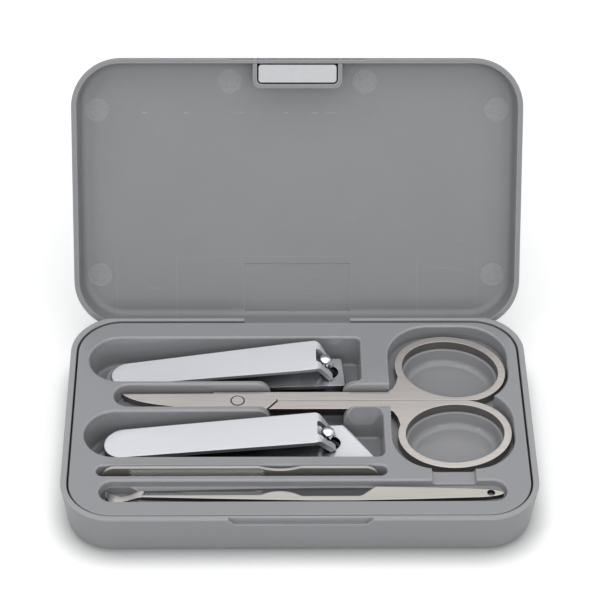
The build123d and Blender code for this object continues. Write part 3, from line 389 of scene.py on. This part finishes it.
brushed_grain, given, gives = new_group(
    "brushed_grain",
    [("Along", "NodeSocketFloat", 60.0), ("Across", "NodeSocketFloat", 5200.0),
     ("Steel", "NodeSocketColor", (0.6, 0.6, 0.6, 1)), ("Streaks", "NodeSocketFloat", 0.08),
     ("Satin", "NodeSocketFloat", 0.3)],
    [("Color", "NodeSocketColor"), ("Roughness", "NodeSocketFloat"), ("Height", "NodeSocketFloat")])
tree, links = brushed_grain, brushed_grain.links
place = add(tree, "ShaderNodeTexCoord").outputs["Object"]
stretch = add(tree, "ShaderNodeCombineXYZ", {"X": given["Along"], "Y": given["Across"], "Z": given["Across"]})
drawn = add(tree, "ShaderNodeVectorMath", {0: place, 1: stretch.outputs["Vector"]}, operation="MULTIPLY")
fibre = noise(tree, drawn.outputs["Vector"], 1.0, 5.0)
swing = ramp(tree, fibre, fibre_from, fibre_to, -1.0, 1.0)
streaked = arith(tree, "MULTIPLY_ADD", swing, given["Streaks"], 1.0)
links.new(scaled(tree, given["Steel"], streaked), gives["Color"])
links.new(arith(tree, "MULTIPLY_ADD", fibre, fibre_satin, given["Satin"]), gives["Roughness"])
links.new(fibre, gives["Height"])

# painted wall shade: the cut edges and walls of a plate are painted darker than its faces, a painted shade
# for how they are lit
dark_sides, given, gives = new_group(
    "dark_sides", [("Metal", "NodeSocketColor", (0.6, 0.6, 0.6, 1)), ("Walls", "NodeSocketFloat", 0.5)],
    [("Color", "NodeSocketColor")])
tree, links = dark_sides, dark_sides.links
facing = add(tree, "ShaderNodeTexCoord").outputs["Normal"]
upright = arith(tree, "ABSOLUTE", add(tree, "ShaderNodeSeparateXYZ", {0: facing}).outputs["Z"])
shade = ramp(tree, upright, wall_upright, face_upright, given["Walls"])
links.new(scaled(tree, given["Metal"], shade), gives["Color"])


def metal(name, colour, satin, along, across, streaks, bump, edge_radius, metallic=1.0, wall_shade=1.0):
    """Ground or polished metal: drawn grain, painted shade on the walls, and broken edges."""
    made, tree = shaded(name)
    grain = use(tree, brushed_grain, Along=along, Across=across, Steel=(*colour, 1), Streaks=streaks,
                Satin=satin)
    edge = use(tree, edge_round_and_highlight, Radius=edge_radius)
    sides = use(tree, dark_sides, "sides", Metal=grain["Color"], Walls=wall_shade)
    relief = add(tree, "ShaderNodeBump", {"Strength": bump, "Distance": metal_relief,
                                          "Height": grain["Height"], "Normal": edge["Normal"]})
    bsdf = tree.nodes["Principled BSDF"].inputs
    bsdf["Metallic"].default_value = metallic
    tree.links.new(sides["Color"], bsdf["Base Color"])
    tree.links.new(grain["Roughness"], bsdf["Roughness"])
    tree.links.new(relief.outputs["Normal"], bsdf["Normal"])
    return made


dress("lid_plate", metal("nickel_plate", nickel, satin=0.34, along=300.0, across=2400.0, streaks=0.04,
                         bump=0.25, edge_radius=0.00015))
dress("tray_magnet", metal("ferrite", ferrite, satin=0.6, along=900.0, across=900.0, streaks=0.1,
                           bump=0.3, edge_radius=0.0001, metallic=0.3))
dress("hinge_pin", metal("drawn_wire", wire, satin=0.3, along=60.0, across=4000.0, streaks=0.05,
                         bump=0.1, edge_radius=0.0001))

# ---------------------------------------------------------------------------
# Clippers: pressed carbon steel, barrel-polished and chromed. Two sprung arms
# are riveted at the tail. A post with a flattened head goes up through both,
# and the lever's bent end straddles it as a fork under the head.
# ---------------------------------------------------------------------------
arm_chrome, post_chrome = (0.78, 0.79, 0.83), (0.70, 0.71, 0.74)
chrome_grain = {"along": 30.0, "across": 900.0}
# how dark the chrome's walls are painted, a painted shade
chrome_wall_shade = 0.45
# the two levers are one chrome; their colour and metallic differ as lit and shaded copies, painted light
clipper_lit_looks = (                                      # size, lever colour, lever metallic, gap shade reach
    ("small", (0.80, 0.81, 0.85), 0.35, 0.0068), ("large", (0.70, 0.71, 0.75), 0.8, 0.010))


def recoloured(made, change):
    """Passes the colour of a metal through one more step on its way out."""
    tree = made.node_tree
    changed = change(tree, tree.nodes["sides"].outputs["Color"])
    tree.links.new(changed, tree.nodes["Principled BSDF"].inputs["Base Color"])
    return made


def gap_shaded(made, reach, deepest):
    """Paints shade into a metal's colour where it looks into close gaps."""
    def dimmed(tree, colour):
        return use(tree, painted_gap_shade, Finish=colour, Reach=reach, Deepest=deepest)["Color"]
    return recoloured(made, dimmed)


bright_post = gap_shaded(metal("bright_chrome_post", post_chrome, satin=0.05, **chrome_grain, streaks=0.01,
                             bump=0.02, edge_radius=0.00010), reach=0.003, deepest=0.10)
for size, lever_lit_chrome, lever_lit_metallic, gap_shade_reach in clipper_lit_looks:
    bright_arms = gap_shaded(metal(f"bright_chrome_{size}", arm_chrome, satin=0.06, **chrome_grain,
                                 streaks=0.015, bump=0.03, edge_radius=0.00022, metallic=0.6,
                                 wall_shade=chrome_wall_shade), gap_shade_reach, deepest=0.006)
    for piece in ("lower_arm", "upper_arm", "rivet"):
        dress(f"{size}_{piece}", bright_arms)
    dress(f"{size}_post", bright_post)
    dress(f"{size}_lever", metal(f"satin_chrome_{size}_lever", lever_lit_chrome, satin=0.28, **chrome_grain,
                                 streaks=0.015, bump=0.04, edge_radius=0.00022, metallic=lever_lit_metallic,
                                 wall_shade=chrome_wall_shade))

# ---------------------------------------------------------------------------
# Scissors: two stamped stainless halves ground on a belt, so the grain runs
# along them, and held by a screw ground flush, of which the outline shows.
# ---------------------------------------------------------------------------
blade_tone, screw_tone, screw_line_tone = (0.55, 0.515, 0.495), (0.56, 0.53, 0.51), (0.09, 0.085, 0.08)
screw_line_from, screw_line_to = 0.00140, 0.00152      # radii of the screw's dark outline
belt_grain = {"along": 90.0, "across": 3800.0}

# the blades' walls, the insides of the rings among them, carry painted shade
ground_steel = metal("ground_steel", blade_tone, satin=0.30, **belt_grain, streaks=0.10, bump=0.3,
                     edge_radius=0.0002, wall_shade=0.42)
dress("scissors_top_blade", ground_steel)
dress("scissors_bottom_blade", ground_steel)

screw_low, screw_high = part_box("scissors_screw")
screw_x, screw_y = ((screw_low[axis] + screw_high[axis]) / 2 for axis in (0, 1))


def outlined(tree, colour):
    """A dark line round the axis of the screw."""
    place = add(tree, "ShaderNodeTexCoord").outputs["Object"]
    from_screw = add(tree, "ShaderNodeMapping", {"Vector": place, "Location": (-screw_x, -screw_y, 0),
                                                 "Scale": (1, 1, 0)}).outputs["Vector"]
    radius = add(tree, "ShaderNodeVectorMath", {0: from_screw}, operation="LENGTH").outputs["Value"]
    return blend(tree, colour, screw_line_tone, ramp(tree, radius, screw_line_from, screw_line_to))


dress("scissors_screw", recoloured(
    metal("screw_steel", screw_tone, satin=0.30, **belt_grain, streaks=0.08, bump=0.25, edge_radius=0.00005,
          wall_shade=0.4), outlined))

# ---------------------------------------------------------------------------
# Nail file: a stamped stainless strip that stands on edge. Its teeth are
# rolled into the side as a diamond grid of small pyramids.
# ---------------------------------------------------------------------------
file_tone = (0.44, 0.425, 0.405)
tooth_pitch = 0.00095
# the teeth's bright lines are a painted highlight and their dark points a painted shade
file_tooth_highlight, file_tooth_shade = (0.88, 0.86, 0.83), (0.035, 0.034, 0.032)
tooth_highlight_to, tooth_shade_from = 0.22, 0.34           # shares of a tooth's height
file_band_start, file_band_width, file_tooth_rise = (-0.0414, -0.019233, 0.0068), 0.0067, 0.00012
file_band_turn = (math.radians(90), 0, 0)              # from flat to the upright side

dress("nail_file", metal("file_steel", file_tone, satin=0.32, **belt_grain, streaks=0.10, bump=0.25,
                         edge_radius=0.00015, metallic=0.7, wall_shade=0.75))

cut_teeth = bpy.data.node_groups.new("cut_teeth", "GeometryNodeTree")
cut_teeth.is_modifier = True
teeth_sockets = {}
for label, kind, value in (
        ("Columns", "NodeSocketInt", 10), ("Rows", "NodeSocketInt", 4), ("Pitch", "NodeSocketFloat", 0.00075),
        ("Rise", "NodeSocketFloat", 0.0001), ("Width At Start", "NodeSocketFloat", 1.0),
        ("Width At End", "NodeSocketFloat", 1.0), ("Seat", "NodeSocketVector", (0, 0, 0)),
        ("Turn", "NodeSocketVector", (0, 0, 0)), ("Steel", "NodeSocketMaterial", None)):
    socket = cut_teeth.interface.new_socket(label, in_out="INPUT", socket_type=kind)
    if value is not None:
        socket.default_value = value
    teeth_sockets[label] = socket.identifier
cut_teeth.interface.new_socket("Geometry", in_out="OUTPUT", socket_type="NodeSocketGeometry")
tree, links = cut_teeth, cut_teeth.links
given, gives = tree.nodes.new("NodeGroupInput").outputs, tree.nodes.new("NodeGroupOutput").inputs

# two grids of points: the second one stands between the first one's points
pitch = given["Pitch"]
length_of = arith(tree, "MULTIPLY", arith(tree, "SUBTRACT", given["Columns"], 1.0), pitch)
depth_of = arith(tree, "MULTIPLY", arith(tree, "SUBTRACT", given["Rows"], 1.0), pitch)
half_pitch = arith(tree, "MULTIPLY", pitch, 0.5)
points = add(tree, "GeometryNodeMeshGrid", {"Size X": length_of, "Size Y": depth_of,
                                            "Vertices X": given["Columns"], "Vertices Y": given["Rows"]})
corner_at = add(tree, "ShaderNodeCombineXYZ", {
    "X": arith(tree, "ADD", arith(tree, "MULTIPLY", length_of, 0.5), half_pitch),
    "Y": arith(tree, "ADD", arith(tree, "MULTIPLY", depth_of, 0.5), half_pitch)})
cornered = add(tree, "GeometryNodeTransform", {"Geometry": points.outputs["Mesh"],
                                               "Translation": corner_at.outputs[0]})
half_step = add(tree, "ShaderNodeCombineXYZ", {"X": half_pitch, "Y": half_pitch})
between = add(tree, "GeometryNodeTransform", {"Geometry": cornered.outputs["Geometry"],
                                              "Translation": half_step.outputs[0]})
both = add(tree, "GeometryNodeJoinGeometry")
links.new(cornered.outputs["Geometry"], both.inputs["Geometry"])
links.new(between.outputs["Geometry"], both.inputs["Geometry"])

# points past the slanted edge of the toothed band are left out
place = add(tree, "GeometryNodeInputPosition").outputs[0]
at = add(tree, "ShaderNodeSeparateXYZ", {0: place}).outputs
far_along = arith(tree, "DIVIDE", at["X"], length_of, clamp=True)
near_start = arith(tree, "SUBTRACT", 1.0, far_along)
edge_here = arith(tree, "ADD", arith(tree, "MULTIPLY", given["Width At Start"], near_start),
                  arith(tree, "MULTIPLY", given["Width At End"], far_along))
past_edge = add(tree, "FunctionNodeCompare", {"A": arith(tree, "ADD", at["Y"], half_pitch), "B": edge_here},
                data_type="FLOAT", operation="GREATER_THAN")
trimmed = add(tree, "GeometryNodeDeleteGeometry", {"Geometry": both.outputs["Geometry"],
                                                   "Selection": past_edge.outputs["Result"]})

# one tooth: a pyramid that knows how high each of its points is
tooth = add(tree, "GeometryNodeMeshCone", {"Vertices": 4, "Radius Top": 0.0, "Radius Bottom": half_pitch,
                                           "Depth": given["Rise"]})
place = add(tree, "GeometryNodeInputPosition").outputs[0]
tooth_z = add(tree, "ShaderNodeSeparateXYZ", {0: place}).outputs["Z"]
height = add(tree, "GeometryNodeStoreNamedAttribute", {
    "Name": "tooth_height", "Geometry": tooth.outputs["Mesh"],
    "Value": arith(tree, "DIVIDE", tooth_z, given["Rise"])}, data_type="FLOAT", domain="POINT")
spread = add(tree, "GeometryNodeInstanceOnPoints", {"Points": trimmed.outputs["Geometry"],
                                                    "Instance": height.outputs["Geometry"]})
seated = add(tree, "GeometryNodeTransform", {"Geometry": spread.outputs["Instances"],
                                             "Translation": given["Seat"], "Rotation": given["Turn"]})
real = add(tree, "GeometryNodeRealizeInstances", {"Geometry": seated.outputs["Geometry"]})
steeled = add(tree, "GeometryNodeSetMaterial", {"Geometry": real.outputs["Geometry"],
                                                "Material": given["Steel"]})
links.new(steeled.outputs["Geometry"], gives[0])


def toothed(name, body, steel, **sizes):
    """Plain mesh of one cut of teeth, riding on its tool."""
    start = bpy.data.objects.new(name + "_tree", bpy.data.meshes.new(name + "_tree"))
    bpy.context.scene.collection.objects.link(start)
    grown = start.modifiers.new("teeth", "NODES")
    grown.node_group = cut_teeth
    for label, value in sizes.items():
        grown[teeth_sockets[label.replace("_", " ")]] = value
    grown[teeth_sockets["Steel"]] = steel
    ready = start.evaluated_get(bpy.context.evaluated_depsgraph_get())
    plain = bpy.data.meshes.new_from_object(ready)
    plain.name = name
    plain.materials.clear()
    plain.materials.append(steel)
    for face in plain.polygons:
        face.material_index = 0
    bpy.data.objects.remove(start)
    cut = bpy.data.objects.new(name, plain)
    bpy.context.scene.collection.objects.link(cut)
    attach(cut, body)


def rolled_steel(name, line, point_shade, metallic):
    """Toothed steel: a painted highlight on the crossed lines of the teeth and painted shade on their points.
    """
    def points_shaded(tree, colour):
        rises = add(tree, "ShaderNodeAttribute", attribute_name="tooth_height").outputs["Fac"]
        return blend(tree, colour, point_shade, ramp(tree, rises, tooth_highlight_to, tooth_shade_from))
    return recoloured(metal(name, line, satin=0.26, along=300.0, across=2600.0, streaks=0.12, bump=0.2,
                            edge_radius=0.00004, metallic=metallic), points_shaded)


toothed("file_teeth", "file", rolled_steel("tooth_steel", file_tooth_highlight, file_tooth_shade, 0.30),
        Columns=34, Rows=7, Pitch=tooth_pitch, Rise=file_tooth_rise, Width_At_Start=file_band_width,
        Width_At_End=file_band_width, Seat=file_band_start, Turn=file_band_turn)

# ---------------------------------------------------------------------------
# Pick: a stainless strip with a scoop and a ground bevel along its far side; the bevel and the scoop carry
# painted shade. The same teeth are rolled into the bevel beside the scoop.
# ---------------------------------------------------------------------------
# the bevel's dark tone is a painted shade
pick_tone, bevel_shade_tone = (0.47, 0.45, 0.43), (0.17, 0.172, 0.175)
# painted highlight and painted shade of the pick's teeth
pick_tooth_highlight, pick_tooth_shade = (0.40, 0.40, 0.40), (0.015, 0.015, 0.015)
bevel_turn = math.atan2(0.744, 3.30)                   # drop and width of the bevel in mm
bevel_from, bevel_to = 0.992, 0.997                    # how well a face agrees with the bevel
scoop_shade_reach, scoop_shade_deepest = 0.0025, 0.25
pick_band_start, pick_tooth_rise = (-0.0379, -0.02613, 0.01172), 0.00014
pick_band_narrow, pick_band_wide = 0.00165, 0.00240


def bevel_and_scoop_shaded(tree, colour):
    """Painted shade: darker in the scoop, and the bevel painted dark where the face leans back."""
    facing = add(tree, "ShaderNodeTexCoord").outputs["Normal"]
    bevel_way = (0.0, math.sin(bevel_turn), math.cos(bevel_turn))
    lean = add(tree, "ShaderNodeVectorMath", {0: facing, 1: bevel_way}, operation="DOT_PRODUCT")
    scoop_shaded = use(tree, painted_gap_shade, Finish=colour, Reach=scoop_shade_reach, Deepest=scoop_shade_deepest)["Color"]
    return blend(tree, scoop_shaded, bevel_shade_tone, ramp(tree, lean.outputs["Value"], bevel_from, bevel_to))


dress("ear_pick", recoloured(
    metal("pick_steel", pick_tone, satin=0.28, along=60.0, across=3800.0, streaks=0.07, bump=0.2,
          edge_radius=0.00025, wall_shade=0.5), bevel_and_scoop_shaded))
toothed("pick_teeth", "pick", rolled_steel("rasp_steel", pick_tooth_highlight, pick_tooth_shade, 0.8),
        Columns=30, Rows=3, Pitch=tooth_pitch, Rise=pick_tooth_rise, Width_At_Start=pick_band_narrow,
        Width_At_End=pick_band_wide, Seat=pick_band_start, Turn=(-bevel_turn, 0, 0))
